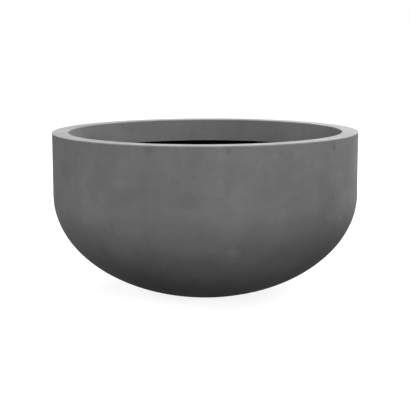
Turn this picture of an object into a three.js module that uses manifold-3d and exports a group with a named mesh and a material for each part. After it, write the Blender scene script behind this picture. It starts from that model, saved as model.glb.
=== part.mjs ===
// Concrete bowl planter: a thin cast shell with a folded rim, a waterproof coat inside,
// a drain with a pull-out plug, and four rubber feet.
// Millimetres, +Z up. The origin is the centre of the base on the floor.
import * as THREE from "three";
import { mergeVertices } from "three/addons/utils/BufferGeometryUtils.js";
import Module from "manifold-3d";

// ---- Driving dimensions -------------------------------------------------------------

// Cast shell. It is measured from its own underside, which the feet hold off the floor.
const RIM_RADIUS = 460; // outside of the rim and of the upright wall
const SHELL_HEIGHT = 482; // underside of the base to the top of the rim
const WALL_STRAIGHT = 188; // upright wall, from the top of the rim down to the curve
const BASE_RADIUS = 152; // edge of the flat underside
const WALL_SKIN = 14; // thickness of the wall
const BASE_THICKNESS = 22; // thickness of the floor of the bowl

// Folded rim: a flat top that returns inwards and then down, hollow and open from below.
const RIM_THICKNESS = 16; // thickness of the flat top
const LIP_DEPTH = 70; // top of the rim to the lower edge of the lip
const LIP_SKIN = 14; // thickness of the lip
const RETURN_HOLLOW = 20; // width of the hollow between the wall and the lip
const ARRIS = 3; // radius of the rim's rounded edges
const ARRIS_LIMIT = 0.45; // the most that radius may be, as a share of the lip's thickness

// Waterproof coat inside the shell.
const COAT_THICKNESS = 2;
const COAT_LAP = 10; // how far the coat runs up behind the lip

// Drain: a flanged sleeve let into the floor of the bowl, with a tapered bore.
const DRAIN_RADIUS = 15; // bore at its upper end
const DRAIN_TAPER = 2; // how much smaller the bore's radius is at its lower end
const SLEEVE_WALL = 2; // wall of the sleeve at the upper end of the bore
const FLANGE_THICKNESS = 3;
const FLANGE_SEAL = 6; // width of flange that the coat laps over

// Drain plug: a tapered shank, a flat head and a pull tab with a hole.
const PLUG_SETBACK = 6; // end of the shank to the lower end of the sleeve
const HEAD_OVERHANG = 5; // how far the head reaches past the bore
const HEAD_THICKNESS = 4;
const HEAD_MARGIN = 2; // free ring between the head and the edge of the coat
const TAB_HOLE_RADIUS = 8;
const TAB_BAND = 6; // width of rubber around the hole
const TAB_NECK = 4; // top of the head to the bottom of the hole
const TAB_THICKNESS = 6;

// Feet: round rubber pads set in shallow pockets under the base.
const FOOT_COUNT = 4;
const FOOT_RADIUS = 22;
const FOOT_PROUD = 3; // how far the shell stands off the floor
const FOOT_SET = 2; // how far a foot is set into its pocket
const FOOT_MARGIN = 12; // edge of a foot to the edge of the flat underside

// Space kept between pieces that seat on or in each other.
const CLEARANCE = 0.3;

// Roundness of the turned shapes.
const SHELL_SEGMENTS = 64;
const SMALL_SEGMENTS = 36;
const CURVE_STEPS = 10;
const ARRIS_STEPS = 2;
const TAB_STEPS = 12;

// ---- Levels and radii that follow from them -----------------------------------------

const underside = FOOT_PROUD;
const rimTop = underside + SHELL_HEIGHT;
const curveTop = rimTop - WALL_STRAIGHT; // where the upright wall starts to curve
const bowlFloor = underside + BASE_THICKNESS;
const lipEdge = rimTop - LIP_DEPTH;

const wallInside = RIM_RADIUS - WALL_SKIN;
const lipOutside = wallInside - RETURN_HOLLOW;
const lipInside = lipOutside - LIP_SKIN;
const arris = Math.min(ARRIS, ARRIS_LIMIT * LIP_SKIN);

// The curve is a quarter of an ellipse about the bowl's axis, cut off by the flat base.
const curveDepth =
  (curveTop - underside) / Math.sqrt(1 - (BASE_RADIUS / RIM_RADIUS) ** 2);

const sleeveRadius = DRAIN_RADIUS + SLEEVE_WALL;
const headRadius = DRAIN_RADIUS + HEAD_OVERHANG;
const coatHoleRadius = headRadius + HEAD_MARGIN;
const flangeRadius = coatHoleRadius + FLANGE_SEAL;
const headBottom = bowlFloor + CLEARANCE;
const headTop = headBottom + HEAD_THICKNESS;

const footCircle = BASE_RADIUS - FOOT_MARGIN - FOOT_RADIUS;
const footTop = underside + FOOT_SET;

// ---- Shape helpers ------------------------------------------------------------------

// Points of one of the rim's rounded edges about a centre, between two angles in degrees.
function roundEdge(radius, height, fromDegrees, toDegrees) {
  const points = [];
  for (let i = 0; i <= ARRIS_STEPS; i += 1) {
    const share = i / ARRIS_STEPS;
    const angle = THREE.MathUtils.degToRad(
      fromDegrees + (toDegrees - fromDegrees) * share,
    );
    points.push([
      radius + arris * Math.cos(angle),
      height + arris * Math.sin(angle),
    ]);
  }
  return points;
}

// Points down a quarter ellipse, from the upright wall to where it reaches a level.
function bowlCurve(radius, depth, level) {
  const endAngle = Math.asin((curveTop - level) / depth);
  const points = [];
  for (let i = 0; i <= CURVE_STEPS; i += 1) {
    const angle = (endAngle * i) / CURVE_STEPS;
    points.push([radius * Math.cos(angle), curveTop - depth * Math.sin(angle)]);
  }
  return points;
}

// The inside of the bowl, from the upright wall to the floor, moved inwards by an inset.
function insideCurve(inset) {
  return bowlCurve(
    wallInside - inset,
    curveDepth - WALL_SKIN - inset,
    bowlFloor + inset,
  );
}

// A solid turned about the Z axis from [radius, height] points that go anticlockwise.
function turned(points, segments) {
  const profile = points.map(([radius, height]) => {
    return new THREE.Vector2(radius, height);
  });
  return new THREE.LatheGeometry(profile, segments).rotateX(Math.PI / 2);
}

// The same for a ring-shaped section, which is closed on itself.
function turnedRing(points, segments) {
  return turned([...points, points[0]], segments);
}

// A round disc about a vertical axis, between two levels.
function disc(radius, bottom, top, segments) {
  const points = [
    [0, bottom],
    [radius, bottom],
    [radius, top],
    [0, top],
  ];
  return turned(points, segments);
}

// ---- Joining and cutting ------------------------------------------------------------

const wasm = await Module();
wasm.setup();

function toSolid(geometry) {
  const bare = geometry.clone();
  bare.deleteAttribute("normal");
  bare.deleteAttribute("uv");
  const merged = mergeVertices(bare);
  return new wasm.Manifold(
    new wasm.Mesh({
      numProp: 3,
      vertProperties: merged.getAttribute("position").array,
      triVerts: new Uint32Array(merged.index.array),
    }),
  );
}

function toGeometry(solid) {
  const mesh = solid.getMesh();
  const geometry = new THREE.BufferGeometry();
  geometry.setAttribute(
    "position",
    new THREE.BufferAttribute(mesh.vertProperties, mesh.numProp),
  );
  geometry.setIndex(new THREE.BufferAttribute(mesh.triVerts, 1));
  const loose = geometry.toNonIndexed();
  loose.computeVertexNormals();
  return loose;
}

function cut(geometry, tools) {
  let solid = toSolid(geometry);
  for (const tool of tools) {
    solid = solid.subtract(toSolid(tool));
  }
  return toGeometry(solid);
}

function join(first, second) {
  return toGeometry(toSolid(first).add(toSolid(second)));
}

// ---- Sub-parts ----------------------------------------------------------------------

// Centres of the feet, on the diagonals so that the front view passes between two.
function footPlaces() {
  const places = [];
  for (let i = 0; i < FOOT_COUNT; i += 1) {
    const angle = ((i + 0.5) * 2 * Math.PI) / FOOT_COUNT;
    places.push(
      new THREE.Vector3(
        footCircle * Math.cos(angle),
        footCircle * Math.sin(angle),
        0,
      ),
    );
  }
  return places;
}

// The cast shell: base, curved wall, upright wall and folded rim, with the drain hole and
// the pockets for the feet.
function bowlShell() {
  const recessFloor = bowlFloor - FLANGE_THICKNESS - CLEARANCE;
  const drainHole = sleeveRadius + CLEARANCE;
  const recessRadius = flangeRadius + CLEARANCE;
  const section = [
    [drainHole, underside],
    ...bowlCurve(RIM_RADIUS, curveDepth, underside).reverse(),
    ...roundEdge(RIM_RADIUS - arris, rimTop - arris, 0, 90),
    ...roundEdge(lipInside + arris, rimTop - arris, 90, 180),
    ...roundEdge(lipInside + arris, lipEdge + arris, 180, 270),
    ...roundEdge(lipOutside - arris, lipEdge + arris, 270, 360),
    [lipOutside, rimTop - RIM_THICKNESS],
    [wallInside, rimTop - RIM_THICKNESS],
    ...insideCurve(0),
    [recessRadius, bowlFloor],
    [recessRadius, recessFloor],
    [drainHole, recessFloor],
  ];
  const pocketRadius = FOOT_RADIUS + CLEARANCE;
  const pocketTop = footTop + CLEARANCE;
  const pockets = footPlaces().map(({ x, y }) => {
    return disc(pocketRadius, 0, pocketTop, SMALL_SEGMENTS).translate(x, y, 0);
  });
  return cut(turnedRing(section, SHELL_SEGMENTS), pockets);
}

// The waterproof coat: it follows the inside of the shell from behind the lip down to the
// floor, and laps over the edge of the drain's flange.
function waterproofLining() {
  const outerInset = CLEARANCE;
  const innerInset = CLEARANCE + COAT_THICKNESS;
  const coatTop = lipEdge + COAT_LAP;
  const section = [
    [coatHoleRadius, bowlFloor + outerInset],
    ...insideCurve(outerInset).reverse(),
    [wallInside - outerInset, coatTop],
    [wallInside - innerInset, coatTop],
    ...insideCurve(innerInset),
    [coatHoleRadius, bowlFloor + innerInset],
  ];
  return turnedRing(section, SHELL_SEGMENTS);
}

// Radius of the drain's tapered bore at a level.
function boreRadius(level) {
  return DRAIN_RADIUS - (DRAIN_TAPER * (bowlFloor - level)) / BASE_THICKNESS;
}

// The drain sleeve: its flange lies flush in the floor of the bowl, and its lower end is
// level with the underside.
function drainSleeve() {
  const flangeBottom = bowlFloor - FLANGE_THICKNESS;
  const section = [
    [boreRadius(underside), underside],
    [sleeveRadius, underside],
    [sleeveRadius, flangeBottom],
    [flangeRadius, flangeBottom],
    [flangeRadius, bowlFloor],
    [boreRadius(bowlFloor), bowlFloor],
  ];
  return turnedRing(section, SMALL_SEGMENTS);
}

// The pull tab: an upright loop of rubber, drawn in the XZ plane.
function pullTab() {
  const root = headTop - HEAD_THICKNESS / 4; // set into the head, so that they join
  const holeHeight = headTop + TAB_NECK + TAB_HOLE_RADIUS;
  const halfWidth = TAB_HOLE_RADIUS + TAB_BAND;
  const outline = new THREE.Shape();
  outline.moveTo(-halfWidth, root);
  outline.lineTo(halfWidth, root);
  outline.absarc(0, holeHeight, halfWidth, 0, Math.PI, false);
  outline.closePath();
  const hole = new THREE.Path();
  hole.absarc(0, holeHeight, TAB_HOLE_RADIUS, 0, 2 * Math.PI, true);
  outline.holes.push(hole);
  const loop = new THREE.ExtrudeGeometry(outline, {
    depth: TAB_THICKNESS,
    bevelEnabled: false,
    curveSegments: TAB_STEPS,
  });
  return loop.translate(0, 0, -TAB_THICKNESS / 2).rotateX(Math.PI / 2);
}

// The drain plug: its head rests on the flange and its shank fills the tapered bore.
function drainPlug() {
  const shankEnd = underside + PLUG_SETBACK;
  const section = [
    [0, shankEnd],
    [boreRadius(shankEnd) - CLEARANCE, shankEnd],
    [boreRadius(headBottom) - CLEARANCE, headBottom],
    [headRadius, headBottom],
    [headRadius, headTop],
    [0, headTop],
  ];
  return join(turned(section, SMALL_SEGMENTS), pullTab());
}

function footPad() {
  return disc(FOOT_RADIUS, 0, footTop, SMALL_SEGMENTS);
}

// ---- Finishes -----------------------------------------------------------------------

const concrete = { color: 0x6b6b6a, roughness: 0.9, metalness: 0 };
const blackCoat = { color: 0x0c0c0c, roughness: 0.75, metalness: 0 };
const blackPlastic = { color: 0x151515, roughness: 0.5, metalness: 0 };
const plugRubber = { color: 0x1c1c1c, roughness: 0.8, metalness: 0 };
const footRubber = { color: 0x191919, roughness: 0.85, metalness: 0 };

// ---- Assembly -----------------------------------------------------------------------

function piece(name, geometry, finish) {
  const mesh = new THREE.Mesh(geometry, new THREE.MeshStandardMaterial(finish));
  mesh.name = name;
  return mesh;
}

const planter = new THREE.Group();
planter.add(piece("bowl_shell", bowlShell(), concrete));
planter.add(piece("waterproof_lining", waterproofLining(), blackCoat));
planter.add(piece("drain_sleeve", drainSleeve(), blackPlastic));
planter.add(piece("drain_plug", drainPlug(), plugRubber));

const feet = new THREE.Group();
footPlaces().forEach((place, index) => {
  const foot = piece(`foot_pad_${index + 1}`, footPad(), footRubber);
  foot.position.copy(place);
  feet.add(foot);
});
planter.add(feet);

export default planter;
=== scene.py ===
"""Dresses the concrete bowl planter in modelled pieces and finishes around its frame. Metres, +Z up."""

import logging
import math
from collections.abc import Iterable, Sequence
from dataclasses import dataclass, field
from enum import Enum

import bmesh
import bpy
from bmesh.types import BMEdge, BMesh, BMLayerItem, BMVert
from bpy.types import Material, Node, NodeSocket, Object, World
from mathutils import Matrix, Vector, noise


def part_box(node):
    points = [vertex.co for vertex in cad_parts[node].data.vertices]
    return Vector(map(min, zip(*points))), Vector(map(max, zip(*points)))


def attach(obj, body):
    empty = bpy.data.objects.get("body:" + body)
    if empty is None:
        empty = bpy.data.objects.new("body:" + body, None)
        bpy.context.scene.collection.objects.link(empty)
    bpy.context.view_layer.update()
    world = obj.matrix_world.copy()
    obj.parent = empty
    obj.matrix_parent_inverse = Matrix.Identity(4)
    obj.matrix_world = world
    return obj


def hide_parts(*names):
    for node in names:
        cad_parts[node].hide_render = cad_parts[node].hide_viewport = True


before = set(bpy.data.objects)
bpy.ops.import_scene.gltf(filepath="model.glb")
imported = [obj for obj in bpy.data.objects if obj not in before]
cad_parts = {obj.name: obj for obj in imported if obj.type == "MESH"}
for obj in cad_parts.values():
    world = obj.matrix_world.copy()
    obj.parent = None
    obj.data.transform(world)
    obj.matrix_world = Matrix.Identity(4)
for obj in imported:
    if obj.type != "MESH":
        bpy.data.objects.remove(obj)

LOG = logging.getLogger("planter")
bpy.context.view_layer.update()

MILLIMETRE = 0.001
FULL_TURN = 2 * math.pi
UP = (0.0, 0.0, 1.0)
CENTRE = (0.0, 0.0, 0.0)
EVEN = (1.0, 1.0, 1.0)
WHITE = (1.0, 1.0, 1.0, 1.0)
SHARP_EDGE = math.radians(35)
STRAIGHT = math.radians(179)
SEAT_GAP = 0.3 * MILLIMETRE  # the space between a piece and what it sits in
MERGE_DISTANCE = 1e-6
SAME_PLACE = 1e-7
QUAD = 4
NOISE_SPREAD = 4.0  # brings a noise texture, which stays near its mean, to about -1 to 1
DOT_CORE = 0.6  # the share of a dot's radius in which it is at its full strength
NUMBER_RESULTS = ("LENGTH", "DISTANCE")  # the vector operations whose result is a number
SENSOR_WIDTH = 36.0  # in millimetres, as the lens is

Value = NodeSocket | float | Sequence[float]


class Zone(Enum):
    """How a face of the bowl was made. The value holds its shares of rubbed and of raw surface."""

    MOULDED = (0.0, 0.0)
    RUBBED = (1.0, 0.0)
    RAW = (0.0, 1.0)


class Body(Enum):
    """The bodies of the frame that pieces ride on."""

    PLANTER = "planter"
    PLUG = "plug"


class Slot(Enum):
    """The record's material slots."""

    CONCRETE = "concrete"
    COAT = "bitumen_coat"
    PLASTIC = "black_plastic"
    PLUG_RUBBER = "plug_rubber"
    FOOT_RUBBER = "foot_rubber"


# Node graphs


@dataclass(frozen=True)
class Clouds:
    """A pattern of soft noise.

    Attributes:
        size: The size of its features.
        strength: How much it adds to what it is laid over.
        seed: An offset that picks another stretch of the noise.
        detail: How many finer layers it has.
        stretch: How much longer the features are along each axis.
    """

    size: float
    strength: float = 1.0
    seed: float = 0.0
    detail: float = 2.0
    stretch: tuple[float, float, float] = EVEN


@dataclass(frozen=True)
class Dots:
    """A pattern of scattered round dots.

    Attributes:
        spacing: The mean distance between the dots' cells.
        radius: The radius of the largest dots.
        seed: An offset that picks another set of dots.
        change: How much brighter they are, as a share of the colour around them.
        height: How far they stand out, in reliefs.
    """

    spacing: float
    radius: float
    seed: float
    change: float
    height: float = 0.0


class Graph:
    """The nodes of a material or a world, with short calls that add and link them."""

    def __init__(self, owner: Material | World) -> None:
        """Turns on the owner's nodes."""
        owner.use_nodes = True
        self.tree = owner.node_tree

    def node(self, kind: str, inputs: dict[str | int, Value] | None = None, **settings: object) -> Node:
        """Adds a node.

        Args:
            kind: The node's type name.
            inputs: Values or sockets for its inputs, by name or number.
            settings: Properties of the node itself.

        Returns:
            The new node.
        """
        node = self.tree.nodes.new(kind)
        for key, value in settings.items():
            setattr(node, key, value)
        for key, value in (inputs or {}).items():
            self.feed(node.inputs[key], value)
        return node

    def feed(self, socket: NodeSocket, value: Value) -> None:
        """Links a socket to another, or sets its value.

        Args:
            socket: The input to feed.
            value: An output socket, or a plain value.
        """
        if isinstance(value, NodeSocket):
            self.tree.links.new(value, socket)
        else:
            socket.default_value = value

    def math(self, operation: str, *values: Value) -> NodeSocket:
        """Adds a Math node with its inputs in order, and returns its result."""
        return self.node("ShaderNodeMath", dict(enumerate(values)), operation=operation).outputs[0]

    def vector(self, operation: str, *values: Value) -> NodeSocket:
        """Adds a Vector Math node with its inputs in order, and returns its result."""
        node = self.node("ShaderNodeVectorMath", dict(enumerate(values)), operation=operation)
        return node.outputs["Value" if operation in NUMBER_RESULTS else "Vector"]

    def fade(
        self, value: NodeSocket, start: float, end: float, low: float = 0.0, high: float = 1.0
    ) -> NodeSocket:
        """Fades smoothly from low, where a value is at its start, to high at its end."""
        inputs = {"Value": value, "From Min": start, "From Max": end, "To Min": low, "To Max": high}
        return self.node("ShaderNodeMapRange", inputs, interpolation_type="SMOOTHSTEP").outputs[0]

    def between(self, share: Value, first: Value, second: Value) -> NodeSocket:
        """Mixes two numbers: a share of 0 gives the first, and 1 the second."""
        inputs = {0: share, 2: first, 3: second}
        return self.node("ShaderNodeMix", inputs, data_type="FLOAT", clamp_factor=True).outputs[0]

    def layered(self, base: Value, *layers: tuple[NodeSocket, Value]) -> Value:
        """Adds patterns to a number.

        Args:
            base: The number.
            layers: The patterns, each with its strength.

        Returns:
            The sum.
        """
        for pattern, strength in layers:
            base = self.math("MULTIPLY_ADD", pattern, strength, base)
        return base

    def split(self, carried: NodeSocket, seen: NodeSocket, output: str) -> None:
        """Ends the graph in one shader for rays that carry light and another for rays that are seen.

        Args:
            carried: The shader for diffuse and shadow rays.
            seen: The shader for camera, glossy and transmission rays.
            output: The name of the output node.
        """
        rays = self.node("ShaderNodeLightPath").outputs
        share = rays["Is Camera Ray"]
        for name in ("Is Glossy Ray", "Is Transmission Ray"):
            share = self.math("MAXIMUM", share, rays[name])
        both = self.node("ShaderNodeMixShader", {0: share, 1: carried, 2: seen})
        self.feed(self.tree.nodes[output].inputs[0], both.outputs[0])


class Surface(Graph):
    """A material's nodes around one Principled shader, with the patterns that finishes are made of."""

    def __init__(self, name: str) -> None:
        """Starts a material.

        Args:
            name: The material's name.
        """
        self.material = bpy.data.materials.new(name)
        super().__init__(self.material)
        self.place = self.node("ShaderNodeTexCoord").outputs["Object"]

    def stretched(self, size: float, stretch: Sequence[float] = EVEN, seed: float = 0.0) -> NodeSocket:
        """Scales the coordinates for a pattern.

        Args:
            size: The size of the pattern's features.
            stretch: How much longer they are along each axis.
            seed: An offset that picks another stretch of the pattern.

        Returns:
            The coordinates' socket, in features.
        """
        scale = [1 / (size * share) for share in stretch]
        inputs = {"Vector": self.place, "Scale": scale, "Location": (seed,) * 3}
        return self.node("ShaderNodeMapping", inputs).outputs[0]

    def noise(self, place: NodeSocket, detail: float = 2.0) -> Node:
        """Adds a noise texture on the given coordinates, and returns it."""
        return self.node("ShaderNodeTexNoise", {"Vector": place, "Scale": 1.0, "Detail": detail})

    def centred(self, texture: Node) -> NodeSocket:
        """Centres a noise texture on zero, from about -1 to 1, and returns its socket."""
        return self.math("MULTIPLY_ADD", texture.outputs[0], NOISE_SPREAD, -NOISE_SPREAD / 2)

    def warp(self, size: float, amount: float) -> None:
        """Bends the coordinates of all later patterns a little, so that round marks turn out uneven.

        Args:
            size: The size of the bends.
            amount: About twice as far as the furthest points move.
        """
        bend = self.noise(self.stretched(size)).outputs["Color"]
        offset = self.vector("SUBTRACT", bend, (0.5, 0.5, 0.5))
        self.place = self.vector("MULTIPLY_ADD", offset, (amount,) * 3, self.place)

    def brushed(self, around: float, down: float, seed: float = 0.0) -> NodeSocket:
        """Adds brush strokes that follow a bowl round its axis and down its wall.

        Args:
            around: How many features there are to a radian round the axis.
            down: The size of a feature down the wall and in along the floor.
            seed: An offset that picks another set of strokes.

        Returns:
            The strokes' socket, centred on zero, from about -1 to 1.
        """
        parts = self.node("ShaderNodeSeparateXYZ", {0: self.place}).outputs
        flat = self.node("ShaderNodeCombineXYZ", {"X": parts["X"], "Y": parts["Y"]}).outputs[0]
        direction = self.vector("MULTIPLY", self.vector("NORMALIZE", flat), (around,) * 3)
        path = self.math("DIVIDE", self.math("ADD", self.vector("LENGTH", flat), parts["Z"]), down)
        level = self.node("ShaderNodeCombineXYZ", {"Z": self.math("ADD", path, seed)}).outputs[0]
        return self.centred(self.noise(self.vector("ADD", direction, level)))

    def clouds(self, layer: Clouds) -> NodeSocket:
        """Adds soft noise centred on zero, from about -1 to 1, and returns its socket."""
        place = self.stretched(layer.size, layer.stretch, layer.seed)
        return self.centred(self.noise(place, layer.detail))

    def dots(self, layer: Dots) -> NodeSocket:
        """Adds scattered dots.

        Args:
            layer: The pattern.

        Returns:
            A socket that is 1 at a dot's middle and 0 outside it.
        """
        place = self.stretched(layer.spacing, seed=layer.seed)
        cells = self.node("ShaderNodeTexVoronoi", {"Vector": place, "Scale": 1.0})
        reach = layer.radius / layer.spacing
        return self.fade(cells.outputs["Distance"], reach, DOT_CORE * reach)

    def near(self, spot: Sequence[float], radius: float) -> NodeSocket:
        """Marks a place: 1 there, 0 outside the radius. Returns the mark's socket."""
        return self.fade(self.vector("DISTANCE", self.place, spot), radius, 0.0)

    def attribute(self, name: str) -> NodeSocket:
        """Reads one of the mesh's own number attributes."""
        return self.node("ShaderNodeAttribute", attribute_name=name).outputs["Fac"]

    def by_zone(self, moulded: float, rubbed: float, raw: float) -> NodeSocket:
        """Picks a number by how the face was made, and returns its socket."""
        worked = self.between(self.attribute("rubbed"), moulded, rubbed)
        return self.between(self.attribute("raw"), worked, raw)

    def finish(
        self,
        grey: NodeSocket,
        tint: Sequence[float],
        roughness: NodeSocket,
        gloss: float,
        relief: NodeSocket,
        depth: float,
    ) -> Material:
        """Feeds the shader.

        Args:
            grey: The grey level.
            tint: The colour that it is multiplied by.
            roughness: The roughness.
            gloss: The specular level.
            relief: The height of the relief, where 1 stands for its depth.
            depth: The relief's real depth.

        Returns:
            The finished material.
        """
        inputs = {
            "Base Color": self.vector("MULTIPLY", tint, grey),
            "Roughness": roughness,
            "Specular IOR Level": gloss,
            "Normal": self.node("ShaderNodeBump", {"Height": relief, "Distance": depth}).outputs[0],
        }
        for name, value in inputs.items():
            self.feed(self.tree.nodes["Principled BSDF"].inputs[name], value)
        return self.material


# Finishes


@dataclass(frozen=True)
class Mark:
    """A single mark on the concrete: a smudge, a chip, an air bubble, or a broad soft patch that is
    partly the concrete's cloudy tone and partly painted light and shade.

    Attributes:
        reach: How far it reaches, in millimetres.
        change: How much brighter it is, as a share of the colour around it.
    """

    spot: tuple[float, float, float]
    reach: float
    change: float


@dataclass(frozen=True)
class ConcreteFinish:
    """Cast grey concrete: cloudy where moulded, coarse where raw, and paler where rubbed flat, partly a
    ground face's own paler paste and partly painted light from above.

    Attributes:
        levels_with_painted_rim_light: The grey of a moulded, a rubbed and a raw face; the rubbed rim
            top's paler grey is partly its own and partly painted light from above.
        gloss: The specular level.
        relief: The depth of the surface's relief.
        bends: The size and the amount of the bends in every pattern.
        mark_bends: The same for further bends in the specks and marks.
        shades: The clouds, streaks and grains that change its grey level.
        dots: The pits and the holes, painted darker as painted shade in their hollows as well as sunk in
            the relief, and the pale dots.
        sand: The sand that shows on rubbed faces.
        specks: The soft dark specks.
        patches: The clouds that change its roughness.
        grains: The relief of the sand grains.
        grain_heights: Their height on a moulded, a rubbed and a raw face, in reliefs.
        ripples: The relief of the ripples.
        ripple_heights: Their height on the same faces.
    """

    name: str = "cast_concrete"
    # The rubbed rim top's paler grey is partly a ground face's own paler paste and partly painted light
    # from above.
    levels_with_painted_rim_light: tuple[float, float, float] = (0.155, 0.30, 0.125)
    tint: tuple[float, float, float] = (1.0, 1.0, 0.995)
    roughness: float = 0.88
    gloss: float = 0.06
    relief: float = 0.25 * MILLIMETRE
    bends: tuple[float, float] = (0.012, 4 * MILLIMETRE)
    mark_bends: tuple[float, float] = (0.020, 16 * MILLIMETRE)
    shades: tuple[Clouds, ...] = (
        Clouds(0.22, 0.045, seed=3.1),
        Clouds(0.075, 0.070, seed=7.7, detail=3.0),
        Clouds(0.022, 0.035, seed=1.3),
        Clouds(0.030, 0.025, seed=5.2, stretch=(1.0, 1.0, 7.0)),
        Clouds(0.050, 0.018, seed=2.9, stretch=(5.0, 5.0, 0.4)),
        Clouds(1.4 * MILLIMETRE, 0.035, detail=1.0),
    )
    dots: tuple[Dots, ...] = (
        # The pits and holes are painted darker: painted shade in their hollows, on top of their sunk
        # relief.
        Dots(0.018, 0.9 * MILLIMETRE, seed=2.4, change=-0.35, height=-1.6),
        Dots(0.060, 1.8 * MILLIMETRE, seed=9.3, change=-0.40, height=-3.0),
        Dots(0.045, 1.6 * MILLIMETRE, seed=4.6, change=0.16),
    )
    sand: Clouds = Clouds(3.5 * MILLIMETRE, 0.07, seed=6.0, detail=1.0)
    specks: Dots = Dots(0.055, 8 * MILLIMETRE, seed=12.1, change=-0.08)
    patches: Clouds = Clouds(0.05, 0.05, seed=8.8)
    grains: Clouds = Clouds(1.4 * MILLIMETRE)
    grain_heights: tuple[float, float, float] = (0.16, 0.35, 0.9)
    ripples: Clouds = Clouds(0.012, seed=4.0)
    ripple_heights: tuple[float, float, float] = (0.30, 0.30, 2.0)
    marks_and_painted_light: tuple[Mark, ...] = (
        Mark((0.077, -0.423, 0.188), 26, 0.24),
        Mark((0.064, -0.428, 0.196), 18, 0.15),
        Mark((0.386, -0.244, 0.256), 13, 0.45),
        Mark((0.361, -0.285, 0.461), 10, -0.40),
        Mark((-0.150, -0.434, 0.472), 24, -0.16),
        Mark((0.062, -0.455, 0.474), 15, -0.18),
        Mark((-0.053, -0.457, 0.336), 34, -0.09),
        Mark((-0.336, -0.308, 0.258), 18, 0.16),
        # The eight broad patches below are partly the concrete's cloudy tone and partly painted light
        # and shade: they lighten or darken wide stretches of the outer wall and the inner lip to even
        # out the lamps' shading.
        Mark((-0.305, -0.344, 0.285), 90, 0.05),
        Mark((0.280, -0.365, 0.285), 220, -0.15),
        Mark((-0.020, -0.456, 0.250), 160, 0.06),
        Mark((0.333, -0.317, 0.440), 150, 0.05),
        Mark((-0.340, -0.240, 0.125), 170, -0.12),
        Mark((0.100, -0.390, 0.150), 150, -0.06),
        Mark((0.120, 0.390, 0.450), 260, -0.15),
        Mark((-0.370, 0.180, 0.450), 150, -0.10),
    )

    def level(self, graph: Surface, dots: Iterable[NodeSocket]) -> NodeSocket:
        """Builds the grey level.

        Args:
            graph: The material's nodes.
            dots: The patterns of its dots.

        Returns:
            The grey level's socket.
        """
        layers = [(graph.clouds(shade), shade.strength) for shade in self.shades]
        layers += [(pattern, kind.change) for pattern, kind in zip(dots, self.dots)]
        sand = graph.math("MULTIPLY", graph.clouds(self.sand), graph.attribute("rubbed"))
        layers.append((sand, self.sand.strength))
        unbent = graph.place
        graph.warp(*self.mark_bends)
        layers.append((graph.dots(self.specks), self.specks.change))
        # The marks include broad patches of painted light and shade as well as real smudges and chips.
        layers += [(graph.near(mark.spot, mark.reach * MILLIMETRE), mark.change) for mark in self.marks_and_painted_light]
        graph.place = unbent
        return graph.math("MULTIPLY", graph.by_zone(*self.levels_with_painted_rim_light), graph.layered(1.0, *layers))

    def material(self) -> Material:
        """Builds the material.

        Returns:
            The material.
        """
        graph = Surface(self.name)
        graph.warp(*self.bends)
        dots = [graph.dots(kind) for kind in self.dots]
        roughness = graph.layered(self.roughness, (graph.clouds(self.patches), self.patches.strength))
        relief = graph.layered(
            0.0,
            (graph.clouds(self.grains), graph.by_zone(*self.grain_heights)),
            (graph.clouds(self.ripples), graph.by_zone(*self.ripple_heights)),
            *((pattern, kind.height) for pattern, kind in zip(dots, self.dots) if kind.height),
        )
        level = self.level(graph, dots)
        return graph.finish(level, self.tint, roughness, self.gloss, relief, self.relief)


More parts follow.
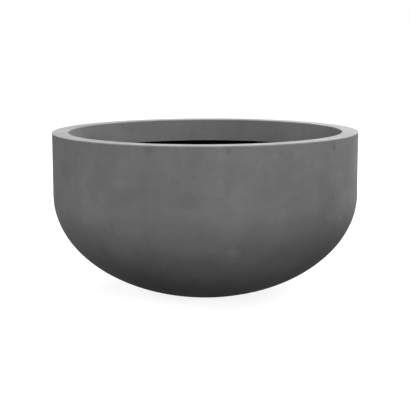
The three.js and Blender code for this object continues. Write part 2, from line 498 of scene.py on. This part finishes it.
@dataclass(frozen=True)
class CoatFinish:
    """Black waterproof coat, brushed round the bowl and in places across, with painted shade under the
    lip that darkens its top.

    Attributes:
        dulling: How much the roughness follows the shade.
        gloss: Its specular level.
        bends: The size and the amount of the bends in every pattern.
        stroke: The width of a brush stroke.
        hair: The width of a bristle's line.
        length: The length of a brush stroke.
        around: The radius at which the strokes round the bowl have that length.
        patch: The size of a patch of strokes across.
        crossing: The noise where such a patch starts, and where it is full.
        clouds: The size of its clouds and their share in the shade.
        shares: The shares of the strokes and the hairs in the shade.
        relief: The depth of the strokes.
        hair_height: The height of the hairs, in reliefs.
        lip_shade_share: The share of its grey that the coat keeps at its top: painted shade under the
            lip.
        lip_shade_heights: The heights where that painted shade is full and where it has faded out.
    """

    name: str = "brushed_bitumen"
    level: float = 0.014
    tint: tuple[float, float, float] = EVEN
    roughness: float = 0.82
    dulling: float = 0.25
    gloss: float = 0.05
    bends: tuple[float, float] = (0.05, 6 * MILLIMETRE)
    stroke: float = 12 * MILLIMETRE
    hair: float = 2.4 * MILLIMETRE
    length: float = 0.20
    around: float = 0.30
    patch: float = 0.10
    crossing: tuple[float, float] = (0.15, 0.45)
    clouds: Clouds = Clouds(0.12, 0.20, seed=2.2)
    shares: tuple[float, float] = (0.32, 0.16)
    relief: float = 0.5 * MILLIMETRE
    hair_height: float = 0.3
    # Painted shade under the lip: how dark the coat's top is, and the heights over which that shade
    # fades.
    lip_shade_share: float = 0.15
    lip_shade_heights: tuple[float, float] = (0.40, 0.20)

    def strokes(self, graph: Surface, width: float, seed: float) -> NodeSocket:
        """Adds strokes round the bowl, with patches of strokes across them.

        Args:
            graph: The material's nodes.
            width: The width of a stroke or of a bristle's line.
            seed: An offset that picks another set of strokes.

        Returns:
            The strokes' socket.
        """
        round_bowl = graph.brushed(self.around / self.length, width, seed)
        across = graph.brushed(self.around / width, self.length, seed)
        patches = graph.fade(graph.clouds(Clouds(self.patch, seed=seed, detail=1.0)), *self.crossing)
        return graph.between(patches, round_bowl, across)

    def material(self) -> Material:
        """Builds the material.

        Returns:
            The material.
        """
        graph = Surface(self.name)
        graph.warp(*self.bends)
        lines = [self.strokes(graph, self.stroke, seed=1.7), self.strokes(graph, self.hair, seed=5.9)]
        clouds = graph.clouds(self.clouds)
        shade = graph.layered(1.0, (clouds, self.clouds.strength), *zip(lines, self.shares))
        roughness = graph.math("MULTIPLY_ADD", shade, self.dulling, self.roughness - self.dulling)
        height = graph.node("ShaderNodeSeparateXYZ", {0: graph.place}).outputs["Z"]
        # Painted shade under the lip: the coat is darker towards its top, and at its full grey lower
        # down.
        dust = graph.between(graph.fade(height, *self.lip_shade_heights), self.lip_shade_share, 1.0)
        grey = graph.math("MULTIPLY", graph.math("MULTIPLY", shade, dust), self.level)
        relief = graph.layered(lines[0], (lines[1], self.hair_height))
        return graph.finish(grey, self.tint, roughness, self.gloss, relief, self.relief)


@dataclass(frozen=True)
class MouldedFinish:
    """Moulded rubber or plastic in one colour, with a fine skin and slight scuffs.

    Attributes:
        dust: How much paler its patches of dust are.
        dulling: How much rougher they are.
        patches: The dusty patches.
        gloss: Its specular level.
        grain: The relief of the skin's grain.
        relief: The depth of the grain.
    """

    name: str
    level: float
    roughness: float
    dust: float = 0.4
    dulling: float = 0.08
    patches: Clouds = Clouds(0.006, seed=3.3, detail=3.0)
    tint: tuple[float, float, float] = (1.0, 0.99, 0.98)
    gloss: float = 0.5
    grain: Clouds = Clouds(0.5 * MILLIMETRE)
    relief: float = 0.04 * MILLIMETRE

    def material(self) -> Material:
        """Builds the material.

        Returns:
            The material.
        """
        graph = Surface(self.name)
        dust = graph.math("MAXIMUM", graph.clouds(self.patches), 0.0)
        grey = graph.math("MULTIPLY", graph.layered(1.0, (dust, self.dust)), self.level)
        roughness = graph.layered(self.roughness, (dust, self.dulling))
        skin = graph.clouds(self.grain)
        return graph.finish(grey, self.tint, roughness, self.gloss, skin, self.relief)


# Turned shapes


@dataclass(frozen=True)
class Station:
    """A point of a section that is turned about the Z axis.

    Attributes:
        radius: Its distance from the axis.
        height: Its height.
        zone: How the surface there was made.
        arris: The size of the rounding along it, or 0 for none.
    """

    radius: float
    height: float
    zone: Zone = Zone.MOULDED
    arris: float = 0.0

    def towards(self, other: "Station", distance: float) -> "Station":
        """Finds the point at a distance from this one.

        Args:
            other: The station that it lies towards.
            distance: How far from this one it lies.

        Returns:
            A plain station, whose zone is the less worked of the two.
        """
        share = distance / math.hypot(other.radius - self.radius, other.height - self.height)
        zone = self.zone if self.zone == other.zone else Zone.MOULDED
        return Station(
            self.radius + (other.radius - self.radius) * share,
            self.height + (other.height - self.height) * share,
            zone,
        )


def soften(mesh: BMesh, edges: list[BMEdge], size: float, facets: int, clamp: bool) -> None:
    """Rounds edges.

    Args:
        mesh: The mesh that they are in.
        edges: The edges.
        size: The size of the rounding.
        facets: How many facets it has.
        clamp: Whether neighbouring roundings are kept from overlapping.
    """
    bmesh.ops.bevel(
        mesh,
        geom=edges,
        offset=size,
        offset_type="OFFSET",
        segments=facets,
        profile=0.5,
        affect="EDGES",
        material=-1,
        clamp_overlap=clamp,
    )


@dataclass
class Turning:
    """A body turned from a section.

    Attributes:
        stations: The section's points in order, anticlockwise with the axis on the left.
        ring: Whether the section is closed on itself, and doesn't end on the axis.
        steps: How many steps the full turn takes.
        pitch: The longest stretch of the section that isn't divided.
        hold: How far from a rounding the flat beside it is held flat.
        rounding: How many facets a rounding has.
        room: How many reaches long a stretch is at least that takes a held station.
    """

    stations: list[Station]
    ring: bool = True
    steps: int = 96
    pitch: float = 0.012
    hold: float = 1.5 * MILLIMETRE
    rounding: int = 4
    room: float = 2.2

    def held(self) -> list[Station]:
        """Adds stations beside each rounding that hold the flats there.

        Returns:
            The section's stations with those added.
        """
        result = []
        count = len(self.stations)
        for index, station in enumerate(self.stations):
            before = self.stations[index - 1]
            after = self.stations[(index + 1) % count]
            reach = station.arris + self.hold
            if station.arris and self.fits(station, before, reach):
                result.append(station.towards(before, reach))
            result.append(station)
            if station.arris and self.fits(station, after, reach):
                result.append(station.towards(after, reach))
        return result

    def fits(self, station: Station, other: Station, reach: float) -> bool:
        """Says whether the stretch between two stations has room for a held one."""
        length = math.hypot(station.radius - other.radius, station.height - other.height)
        return length > self.room * max(reach, other.arris + self.hold)

    def build(self) -> BMesh:
        """Turns the section.

        Returns:
            The closed mesh, with its zones as the vertex layers rubbed and raw.
        """
        mesh = bmesh.new()
        rubbed = mesh.verts.layers.float.new("rubbed")
        raw = mesh.verts.layers.float.new("raw")
        corner = mesh.verts.layers.int.new("corner")
        stations = self.held()
        verts = []
        for index, station in enumerate(stations):
            vert = mesh.verts.new((station.radius, 0.0, station.height))
            vert[rubbed], vert[raw] = station.zone.value
            vert[corner] = index + 1 if station.arris else 0
            verts.append(vert)
        ends = verts[1:] + verts[:1] if self.ring else verts[1:]
        edges = [mesh.edges.new(pair) for pair in zip(verts, ends)]
        self.divide(mesh, edges)
        bmesh.ops.spin(
            mesh,
            geom=mesh.verts[:] + mesh.edges[:],
            cent=CENTRE,
            axis=UP,
            dvec=CENTRE,
            angle=FULL_TURN,
            steps=self.steps,
            use_merge=True,
        )
        bmesh.ops.remove_doubles(mesh, verts=mesh.verts[:], dist=MERGE_DISTANCE)
        bmesh.ops.recalc_face_normals(mesh, faces=mesh.faces[:])
        self.round_off(mesh, corner, {i + 1: s.arris for i, s in enumerate(stations) if s.arris})
        return mesh

    def divide(self, mesh: BMesh, edges: list[BMEdge]) -> None:
        """Divides the section's long edges to the pitch.

        Args:
            mesh: The mesh of the flat section.
            edges: Its edges.
        """
        cuts: dict[int, list[BMEdge]] = {}
        for edge in edges:
            cuts.setdefault(int(edge.calc_length() / self.pitch), []).append(edge)
        layer = mesh.verts.layers.int["corner"]
        kept = {vert for vert in mesh.verts if vert[layer]}
        for count, group in cuts.items():
            if count:
                bmesh.ops.subdivide_edges(mesh, edges=group, cuts=count)
        for vert in mesh.verts:
            if vert not in kept:
                vert[layer] = 0

    def round_off(self, mesh: BMesh, layer: BMLayerItem, sizes: dict[int, float]) -> None:
        """Rounds the rings that have an arris.

        Args:
            mesh: The turned mesh.
            layer: The layer that numbers the corners.
            sizes: The rounding of each corner by its number.
        """
        for number, size in sizes.items():
            rings = [edge for edge in mesh.edges if all(vert[layer] == number for vert in edge.verts)]
            soften(mesh, rings, size, self.rounding, clamp=False)


@dataclass(frozen=True)
class HandWork:
    """The unevenness that hand work leaves: every point sinks a little into its own piece.

    Attributes:
        depth: The deepest that a moulded face sinks.
        rubbed_depth: The same for a rubbed face.
        raw_depth: The same for a raw face.
        size: The size of the waves.
        seed: An offset that picks another stretch of the waves.
        fractal: How fast the waves fade, how much finer each layer of them is, and how many there are.
    """

    depth: float
    rubbed_depth: float
    raw_depth: float
    size: float
    seed: float = 0.0
    fractal: tuple[float, float, int] = (0.6, 2.0, 3)

    def apply(self, mesh: BMesh) -> None:
        """Moves the mesh's vertices against their normals.

        Args:
            mesh: The mesh to work on.
        """
        mesh.normal_update()
        rubbed = mesh.verts.layers.float["rubbed"]
        raw = mesh.verts.layers.float["raw"]
        shift = Vector((self.seed, self.seed, self.seed))
        moves = []
        for vert in mesh.verts:
            wave = noise.fractal(vert.co / self.size + shift, *self.fractal)
            share = min(max(0.5 + 0.5 * wave, 0.0), 1.0)
            plain = 1.0 - vert[rubbed] - vert[raw]
            depth = self.depth * plain + self.rubbed_depth * vert[rubbed] + self.raw_depth * vert[raw]
            moves.append(vert.normal * (-depth * share))
        for vert, move in zip(mesh.verts, moves):
            vert.co += move


def carve(mesh: BMesh, tools: Iterable[BMesh], operation: str) -> BMesh:
    """Cuts tools out of a mesh, or joins them to it.

    Args:
        mesh: The mesh to carve, which is used up.
        tools: The tools' meshes, which are used up.
        operation: DIFFERENCE or UNION.

    Returns:
        The carved mesh.
    """
    work = shown(mesh, "work")
    helpers = [shown(tool, "tool") for tool in tools]
    for helper in helpers:
        step = work.modifiers.new("carve", "BOOLEAN")
        step.operation = operation
        step.solver = "EXACT"
        step.object = helper
    bpy.context.view_layer.update()
    graph = bpy.context.evaluated_depsgraph_get()
    carved = bpy.data.meshes.new_from_object(work.evaluated_get(graph))
    result = bmesh.new()
    result.from_mesh(carved)
    bpy.data.meshes.remove(carved)
    for item in [work, *helpers]:
        data = item.data
        bpy.data.objects.remove(item)
        bpy.data.meshes.remove(data)
    bmesh.ops.remove_doubles(result, verts=result.verts[:], dist=MERGE_DISTANCE)
    split = [
        face
        for face in result.faces
        if len(face.verts) > QUAD or any(loop.calc_angle() > STRAIGHT for loop in face.loops)
    ]
    bmesh.ops.triangulate(result, faces=split, quad_method="BEAUTY", ngon_method="BEAUTY")
    return result


def shown(mesh: BMesh, name: str) -> Object:
    """Makes an object of a mesh.

    Args:
        mesh: The mesh, which is used up.
        name: The object's name.

    Returns:
        The object, in the scene.
    """
    data = bpy.data.meshes.new(name)
    mesh.to_mesh(data)
    mesh.free()
    item = bpy.data.objects.new(name, data)
    bpy.context.scene.collection.objects.link(item)
    return item


@dataclass(frozen=True)
class Place:
    """Where a finished piece belongs in the frame.

    Attributes:
        node: The node that it stands for.
        body: The body that it rides on.
        slot: The material slot that it would fill; not used.
    """

    node: str
    body: Body
    slot: Slot


def fit(mesh: BMesh, name: str, place: Place, material: Material) -> Object:
    """Finishes a piece and puts it in the frame.

    Args:
        mesh: The piece's mesh, which is used up.
        name: The piece's name.
        place: Where it belongs.
        material: Its material.

    Returns:
        The piece.
    """
    for face in mesh.faces:
        face.smooth = True
    for edge in mesh.edges:
        edge.smooth = len(edge.link_faces) == 2 and edge.calc_face_angle(math.pi) < SHARP_EDGE
    count = len(mesh.faces)
    piece = shown(mesh, name)
    piece.data.materials.append(material)
    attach(piece, place.body.value)
    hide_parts(place.node)
    LOG.info("%s stands for %s on body %s: %d faces", name, place.node, place.body.value, count)
    return piece


# The bowl


@dataclass
class BowlForm:
    """The sizes that the shell and its coat share.

    Attributes:
        upright: The upright wall's height, down from the top of the rim.
        base_radius: The edge of the flat underside.
        wall: The wall's thickness.
        floor: The thickness of the floor of the bowl.
        curve_steps: How many stretches the curve below the wall has.
    """

    upright: float = 0.188
    base_radius: float = 0.152
    wall: float = 0.014
    floor: float = 0.022
    curve_steps: int = 40
    radius: float = field(init=False)
    underside: float = field(init=False)
    rim_top: float = field(init=False)

    def __post_init__(self) -> None:
        """Reads the outer sizes from the frame."""
        low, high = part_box("bowl_shell")
        self.radius = high.x
        self.underside = low.z
        self.rim_top = high.z

    @property
    def curve_top(self) -> float:
        """The level where the upright wall starts to curve."""
        return self.rim_top - self.upright

    @property
    def curve_depth(self) -> float:
        """The depth of the quarter ellipse that the curve is part of."""
        share = self.base_radius / self.radius
        return (self.curve_top - self.underside) / math.sqrt(1 - share * share)

    @property
    def inside(self) -> float:
        """The radius of the inside of the wall."""
        return self.radius - self.wall

    @property
    def bowl_floor(self) -> float:
        """The level of the floor of the bowl."""
        return self.underside + self.floor

    def curve(self, inset: float, level: float, zone: Zone) -> list[Station]:
        """Follows the curve from the upright wall down to a level.

        Args:
            inset: How far inside the bowl's outside it runs.
            level: Where it ends.
            zone: How the surface was made.

        Returns:
            The stations from the top to the bottom.
        """
        radius = self.radius - inset
        depth = self.curve_depth - inset
        end = math.asin((self.curve_top - level) / depth)
        angles = [end * index / self.curve_steps for index in range(self.curve_steps + 1)]
        return [
            Station(radius * math.cos(angle), self.curve_top - depth * math.sin(angle), zone)
            for angle in angles
        ]


@dataclass
class BowlShell:
    """The cast concrete shell with its folded rim, drain hole and pockets for the feet.

    Attributes:
        lip_depth: The top of the rim to the lower edge of the lip.
        hollow: The width of the hollow between the wall and the lip.
        arris: The rounding of the rim's edges.
        base_edge: The rounding of the underside's edge.
        sleeve_radius: The outside of the drain sleeve's tube.
        pocket_steps: How many sides a pocket's wall has.
    """

    form: BowlForm
    finish: ConcreteFinish
    rim_thickness: float = 0.016
    lip_depth: float = 0.070
    lip_skin: float = 0.014
    hollow: float = 0.020
    arris: float = 2.6 * MILLIMETRE
    base_edge: float = 9 * MILLIMETRE
    sleeve_radius: float = 0.017
    flange_thickness: float = 0.003
    steps: int = 240
    pocket_steps: int = 64
    hand_work: HandWork = HandWork(
        depth=0.6 * MILLIMETRE,
        rubbed_depth=0.2 * MILLIMETRE,
        raw_depth=1.1 * MILLIMETRE,
        size=0.16,
    )

    def section(self) -> list[Station]:
        """Draws the shell's section, from the drain hole outwards and round.

        Returns:
            The section's stations.
        """
        form = self.form
        outside = form.curve(0.0, form.underside, Zone.MOULDED)[::-1]
        outside[0] = Station(outside[0].radius, outside[0].height, Zone.MOULDED, self.base_edge)
        lip_outside = form.inside - self.hollow
        lip_inside = lip_outside - self.lip_skin
        lip_edge = form.rim_top - self.lip_depth
        rim_underside = form.rim_top - self.rim_thickness
        hole = self.sleeve_radius + SEAT_GAP
        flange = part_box("drain_sleeve")[1].x + SEAT_GAP
        recess = form.bowl_floor - self.flange_thickness - SEAT_GAP
        return [
            Station(hole, form.underside, Zone.RAW),
            *outside,
            Station(form.radius, form.rim_top, Zone.RUBBED, self.arris),
            Station(lip_inside, form.rim_top, Zone.RUBBED, self.arris),
            Station(lip_inside, lip_edge, Zone.MOULDED, self.arris),
            Station(lip_outside, lip_edge, Zone.RAW, self.arris),
            Station(lip_outside, rim_underside, Zone.RAW),
            Station(form.inside, rim_underside, Zone.RAW),
            *form.curve(form.wall, form.bowl_floor, Zone.RAW),
            Station(flange, form.bowl_floor, Zone.RAW),
            Station(flange, recess, Zone.RAW),
            Station(hole, recess, Zone.RAW),
        ]

    def pockets(self) -> list[BMesh]:
        """Builds the cutters of the feet's pockets.

        Returns:
            The cutters' meshes.
        """
        cutters = []
        for name in foot_names():
            low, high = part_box(name)
            radius = (high.x - low.x) / 2 + SEAT_GAP
            cutter = bmesh.new()
            bmesh.ops.create_cone(
                cutter,
                cap_ends=True,
                segments=self.pocket_steps,
                radius1=radius,
                radius2=radius,
                depth=2 * (high.z + SEAT_GAP),
            )
            middle = (low + high) / 2
            bmesh.ops.translate(cutter, verts=cutter.verts[:], vec=(middle.x, middle.y, 0.0))
            cutter.verts.layers.float.new("rubbed")
            raw = cutter.verts.layers.float.new("raw")
            for vert in cutter.verts:
                vert[raw] = 1.0
            cutters.append(cutter)
        return cutters

    def build(self) -> Object:
        """Builds the shell.

        Returns:
            The shell.
        """
        turned = Turning(self.section(), steps=self.steps).build()
        mesh = carve(turned, self.pockets(), "DIFFERENCE")
        self.hand_work.apply(mesh)
        place = Place("bowl_shell", Body.PLANTER, Slot.CONCRETE)
        return fit(mesh, "concrete_shell", place, self.finish.material())


@dataclass
class WaterproofCoat:
    """The black coat on the inside of the bowl, thick and thin as the brush left it.

    Attributes:
        hole: The radius of its hole around the plug's head.
        edge: The rounding of its edges.
    """

    form: BowlForm
    finish: CoatFinish
    thickness: float = 2 * MILLIMETRE
    hole: float = 0.022
    edge: float = 0.7 * MILLIMETRE
    steps: int = 192
    hand_work: HandWork = HandWork(
        depth=0.35 * MILLIMETRE,
        rubbed_depth=0.0,
        raw_depth=0.0,
        size=0.05,
        seed=4.0,
    )

    def section(self) -> list[Station]:
        """Draws the coat's section, from its hole outwards, up behind the lip and back.

        Returns:
            The section's stations.
        """
        form = self.form
        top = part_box("waterproof_lining")[1].z
        outer = form.wall + SEAT_GAP
        inner = outer + self.thickness
        below = form.bowl_floor + SEAT_GAP
        above = below + self.thickness
        return [
            Station(self.hole, below),
            *form.curve(outer, below, Zone.MOULDED)[::-1],
            Station(form.radius - outer, top, arris=self.edge),
            Station(form.radius - inner, top, arris=self.edge),
            *form.curve(inner, above, Zone.MOULDED),
            Station(self.hole, above, arris=self.edge),
        ]

    def build(self) -> Object:
        """Builds the coat.

        Returns:
            The coat.
        """
        mesh = Turning(self.section(), steps=self.steps, hold=0.8 * MILLIMETRE).build()
        self.hand_work.apply(mesh)
        place = Place("waterproof_lining", Body.PLANTER, Slot.COAT)
        return fit(mesh, "brushed_coat", place, self.finish.material())


# The drain


@dataclass
class Drain:
    """The flanged sleeve in the floor of the bowl and the plug that closes it.

    Attributes:
        bore: The radius of the sleeve's bore at its upper end.
        taper: How much smaller that radius is at its lower end.
        tube: The outside radius of the sleeve's tube.
        flange: The thickness of the sleeve's flange.
        shoulder: The thickness of the plug's head.
        groove: The depth of the ring moulded into the head.
        ring_inset: How far inside the head's edge the ring lies.
        ring_slope: The share of that width that each of its sides takes.
        tab_hole: The radius of the hole in the pull tab.
        tab_band: The width of rubber around it.
        tab_root: The share of the head's thickness at which the tab starts.
        tab_steps: How many sides the tab's rounds have.
        tab_facets: How many facets the rounding of its edges has.
        soft: The rounding of moulded edges.
    """

    sleeve_finish: MouldedFinish
    plug_finish: MouldedFinish
    bore: float = 0.015
    taper: float = 0.002
    tube: float = 0.017
    flange: float = 0.003
    shoulder: float = 0.004
    groove: float = 0.5 * MILLIMETRE
    ring_inset: float = 2.5 * MILLIMETRE
    ring_width: float = 1.2 * MILLIMETRE
    ring_slope: float = 0.3
    tab_hole: float = 0.008
    tab_band: float = 0.006
    tab_thickness: float = 0.006
    tab_root: float = 0.6
    tab_steps: int = 48
    tab_facets: int = 3
    soft: float = 0.8 * MILLIMETRE
    steps: int = 96

    def bore_radius(self, level: float) -> float:
        """Finds the bore's radius at a level above the floor, and returns it."""
        low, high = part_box("drain_sleeve")
        return self.bore - self.taper * (high.z - level) / (high.z - low.z)

    def sleeve(self) -> Object:
        """Builds the sleeve.

        Returns:
            The sleeve.
        """
        low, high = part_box("drain_sleeve")
        flange_bottom = high.z - self.flange
        fine = self.soft / 2
        section = [
            Station(self.bore_radius(low.z), low.z, arris=fine),
            Station(self.tube, low.z, arris=fine),
            Station(self.tube, flange_bottom),
            Station(high.x, flange_bottom, arris=fine),
            Station(high.x, high.z, arris=self.soft),
            Station(self.bore_radius(high.z), high.z, arris=fine),
        ]
        mesh = Turning(section, steps=self.steps, pitch=0.01, hold=0.4 * MILLIMETRE).build()
        place = Place("drain_sleeve", Body.PLANTER, Slot.PLASTIC)
        return fit(mesh, "flanged_sleeve", place, self.sleeve_finish.material())

    def head_and_shank(self) -> BMesh:
        """Turns the plug's shank and its head with the moulded ring.

        Returns:
            Their mesh.
        """
        low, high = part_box("drain_plug")
        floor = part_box("drain_sleeve")[1].z
        head = high.x
        seat = floor + SEAT_GAP
        top = seat + self.shoulder
        shank_end = self.bore_radius(low.z) - SEAT_GAP
        shank_top = self.bore_radius(seat) - SEAT_GAP
        ring = head - self.ring_inset
        slope = self.ring_slope * self.ring_width
        section = [
            Station(0.0, low.z),
            Station(shank_end, low.z, arris=self.soft),
            Station(shank_top, seat),
            Station(head, seat, arris=0.5 * self.soft),
            Station(head, top, arris=1.2 * self.soft),
            Station(ring, top),
            Station(ring - slope, top - self.groove),
            Station(ring - self.ring_width + slope, top - self.groove),
            Station(ring - self.ring_width, top),
            Station(0.0, top),
        ]
        return Turning(section, ring=False, steps=self.steps, pitch=0.006, hold=0.4 * MILLIMETRE).build()

    def pull_tab(self) -> BMesh:
        """Builds the pull tab: an outline round at the top and straight below, with a round hole.

        Returns:
            The tab's mesh, sunk a little into the head so that the two join.
        """
        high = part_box("drain_plug")[1]
        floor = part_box("drain_sleeve")[1].z
        half = self.tab_hole + self.tab_band
        middle = high.z - half
        root = floor + SEAT_GAP + self.tab_root * self.shoulder
        mesh = bmesh.new()
        turned = Matrix.Rotation(math.pi / 2, 4, "X")
        outline, hole = [
            bmesh.ops.create_circle(mesh, segments=self.tab_steps, radius=radius, matrix=turned)["verts"]
            for radius in (half, self.tab_hole)
        ]
        drop = middle - root
        for vert in outline:
            if vert.co.z < -SAME_PLACE:
                reach = min(half / max(abs(vert.co.x), SAME_PLACE), drop / -vert.co.z)
                vert.co *= reach
        rims = [edge for edge in mesh.edges if edge.is_wire]
        bmesh.ops.bridge_loops(mesh, edges=rims)
        bmesh.ops.translate(mesh, verts=outline + hole, vec=(0.0, -self.tab_thickness / 2, middle))
        thick = bmesh.ops.extrude_face_region(mesh, geom=mesh.faces[:])["geom"]
        moved = [item for item in thick if isinstance(item, BMVert)]
        bmesh.ops.translate(mesh, verts=moved, vec=(0.0, self.tab_thickness, 0.0))
        bmesh.ops.recalc_face_normals(mesh, faces=mesh.faces[:])
        edges = [edge for edge in mesh.edges if edge.calc_face_angle(0.0) > SHARP_EDGE]
        soften(mesh, edges, self.soft, self.tab_facets, clamp=True)
        return mesh

    def plug(self) -> Object:
        """Builds the plug.

        Returns:
            The plug.
        """
        mesh = carve(self.head_and_shank(), [self.pull_tab()], "UNION")
        place = Place("drain_plug", Body.PLUG, Slot.PLUG_RUBBER)
        return fit(mesh, "rubber_plug", place, self.plug_finish.material())

    def build(self) -> list[Object]:
        """Builds the sleeve and the plug, and returns them."""
        return [self.sleeve(), self.plug()]


# The feet


def foot_names() -> list[str]:
    """Finds the frame's feet, and returns their names in order."""
    return sorted(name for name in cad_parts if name.startswith("foot_pad_"))


@dataclass
class Feet:
    """The round rubber feet, each with a dished underside.

    Attributes:
        edge: The rounding of a foot's edge.
        dish: How deep the underside is dished.
        tread: The width of the ring that a foot stands on.
    """

    finish: MouldedFinish
    edge: float = 1.1 * MILLIMETRE
    dish: float = 0.6 * MILLIMETRE
    tread: float = 0.006
    steps: int = 72

    def foot(self, name: str, material: Material) -> Object:
        """Builds a foot.

        Args:
            name: The node that it stands for.
            material: Its material.

        Returns:
            The foot.
        """
        low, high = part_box(name)
        middle = (low + high) / 2
        radius = (high.x - low.x) / 2
        inner = radius - self.tread
        section = [
            Station(0.0, low.z + self.dish),
            Station(inner - self.dish, low.z + self.dish),
            Station(inner, low.z),
            Station(radius, low.z, arris=self.edge),
            Station(radius, high.z, arris=0.4 * self.edge),
            Station(0.0, high.z),
        ]
        mesh = Turning(section, ring=False, steps=self.steps, hold=0.3 * MILLIMETRE).build()
        bmesh.ops.translate(mesh, verts=mesh.verts[:], vec=(middle.x, middle.y, 0.0))
        number = name.rsplit("_", 1)[1]
        return fit(mesh, f"rubber_foot_{number}", Place(name, Body.PLANTER, Slot.FOOT_RUBBER), material)

    def build(self) -> list[Object]:
        """Builds the feet, and returns them."""
        material = self.finish.material()
        return [self.foot(name, material) for name in foot_names()]


# The studio


@dataclass(frozen=True)
class Lamp:
    """A square soft light that points at the middle of the bowl.

    Attributes:
        azimuth: Its direction in degrees, from 0 on the camera's side towards 90 on the right.
        elevation: How high it hangs, in degrees.
        power: Its power in watts.
        distance: How far from the bowl it hangs.
        side: The length of its sides.
    """

    name: str
    azimuth: float
    elevation: float
    power: float
    distance: float = 3.8
    side: float = 1.8

    def hang(self, target: Vector) -> None:
        """Adds the lamp to the scene.

        Args:
            target: The place that it points at.
        """
        light = bpy.data.lights.new(self.name, "AREA")
        light.shape = "SQUARE"
        light.size = self.side
        light.energy = self.power
        lamp = bpy.data.objects.new(self.name, light)
        azimuth = math.radians(self.azimuth)
        elevation = math.radians(self.elevation)
        level = math.cos(elevation)
        back = Vector((level * math.sin(azimuth), -level * math.cos(azimuth), math.sin(elevation)))
        lamp.location = target + self.distance * back
        lamp.rotation_euler = back.to_track_quat("Z", "Y").to_euler()
        bpy.context.scene.collection.objects.link(lamp)


@dataclass
class Studio:
    """The camera, the lamps, the pale surroundings and the floor.

    Attributes:
        distance: The camera's distance in front of the bowl's axis.
        above_rim: The camera's height above the rim.
        pitch: How far down it looks.
        yaw: How far it looks to the left.
        roll: How far it is turned about its own line of sight.
        lens: Its focal length in millimetres.
        sky: The strength of the surroundings' light.
        floor_side: The length of the floor's sides.
        floor_glow: The share of the floor's white that no shadow takes away, near the bowl.
        floor_reach: Where the floor starts to glow more, and where it is all white.
        floor_seen: The floor's colour where the camera or a reflection sees it.
        floor_bounce: The floor's colour for the light that it throws back.
        aim: The place that the lamps point at.
    """

    rim_top: float
    distance: float = 3.68
    above_rim: float = 0.333
    pitch: float = 0.1512
    yaw: float = 0.00025
    roll: float = -0.0029
    lens: float = 107.1
    sky: float = 0.25
    floor_side: float = 60.0
    floor_glow: float = 0.86
    floor_reach: tuple[float, float] = (0.8, 3.0)
    floor_seen: float = 0.30
    floor_bounce: float = 0.065
    aim: tuple[float, float, float] = (0.0, 0.0, 0.35)
    lamps: tuple[Lamp, ...] = (
        Lamp("left", -80.0, 18.0, 66.0),
        Lamp("front_high", -20.0, 50.0, 9.0),
        Lamp("front", 10.0, 18.0, 82.0),
        Lamp("right_high", 70.0, 50.0, 88.0),
        Lamp("back_right", 140.0, 18.0, 120.0),
        Lamp("back_right_high", 140.0, 50.0, 43.0),
        Lamp("back_left_high", -150.0, 50.0, 44.0),
    )

    def camera(self) -> None:
        """Adds the camera and makes it the scene's."""
        view = bpy.data.cameras.new("camera")
        view.sensor_width = SENSOR_WIDTH
        view.lens = self.lens
        eye = bpy.data.objects.new("camera", view)
        turn = (
            Matrix.Rotation(self.yaw, 4, "Z")
            @ Matrix.Rotation(math.pi / 2 - self.pitch, 4, "X")
            @ Matrix.Rotation(self.roll, 4, "Z")
        )
        eye.rotation_euler = turn.to_euler()
        eye.location = (0.0, -self.distance, self.rim_top + self.above_rim)
        bpy.context.scene.collection.objects.link(eye)
        bpy.context.scene.camera = eye

    def surroundings(self) -> None:
        """Makes the world white where it is seen, and a plain soft light elsewhere."""
        world = bpy.data.worlds.new("surroundings")
        graph = Graph(world)
        graph.tree.nodes.remove(graph.tree.nodes["Background"])
        lights = [
            graph.node("ShaderNodeBackground", {"Color": WHITE, "Strength": strength}).outputs[0]
            for strength in (self.sky, 1.0)
        ]
        graph.split(*lights, "World Output")
        bpy.context.scene.world = world

    def floor_material(self) -> Material:
        """Builds the floor's material: white with a shadow where seen, dull for thrown-back light.

        Returns:
            The material.
        """
        material = bpy.data.materials.new("pale_floor")
        graph = Graph(material)
        graph.tree.nodes.remove(graph.tree.nodes["Principled BSDF"])
        dull, pale = [
            graph.node("ShaderNodeBsdfDiffuse", {"Color": (level, level, level, 1.0)}).outputs[0]
            for level in (self.floor_bounce, self.floor_seen)
        ]
        away = graph.vector("LENGTH", graph.node("ShaderNodeTexCoord").outputs["Object"])
        strength = graph.fade(away, *self.floor_reach, self.floor_glow, 1.0)
        glow = graph.node("ShaderNodeEmission", {"Strength": strength}).outputs[0]
        lit = graph.node("ShaderNodeAddShader", {0: pale, 1: glow}).outputs[0]
        graph.split(dull, lit, "Material Output")
        return material

    def floor(self) -> None:
        """Lays the floor at the level that the feet stand on."""
        mesh = bmesh.new()
        bmesh.ops.create_grid(mesh, x_segments=1, y_segments=1, size=self.floor_side / 2)
        ground = shown(mesh, "studio_floor")
        ground.data.materials.append(self.floor_material())

    def build(self) -> None:
        """Sets up the whole studio."""
        self.camera()
        self.surroundings()
        self.floor()
        for lamp in self.lamps:
            lamp.hang(Vector(self.aim))
        bpy.context.scene.view_settings.view_transform = "Standard"
        LOG.info("studio with %d lamps", len(self.lamps))


def main() -> None:
    """Builds the studio and every piece."""
    logging.basicConfig(level=logging.INFO, format="%(name)s: %(message)s")
    form = BowlForm()
    Studio(form.rim_top).build()
    BowlShell(form, ConcreteFinish()).build()
    WaterproofCoat(form, CoatFinish()).build()
    Drain(
        MouldedFinish("sleeve_plastic", level=0.020, roughness=0.45, dust=0.2),
        MouldedFinish("plug_rubber", level=0.030, roughness=0.72),
    ).build()
    Feet(MouldedFinish("foot_rubber", level=0.024, roughness=0.80)).build()


if __name__ == "__main__":
    main()
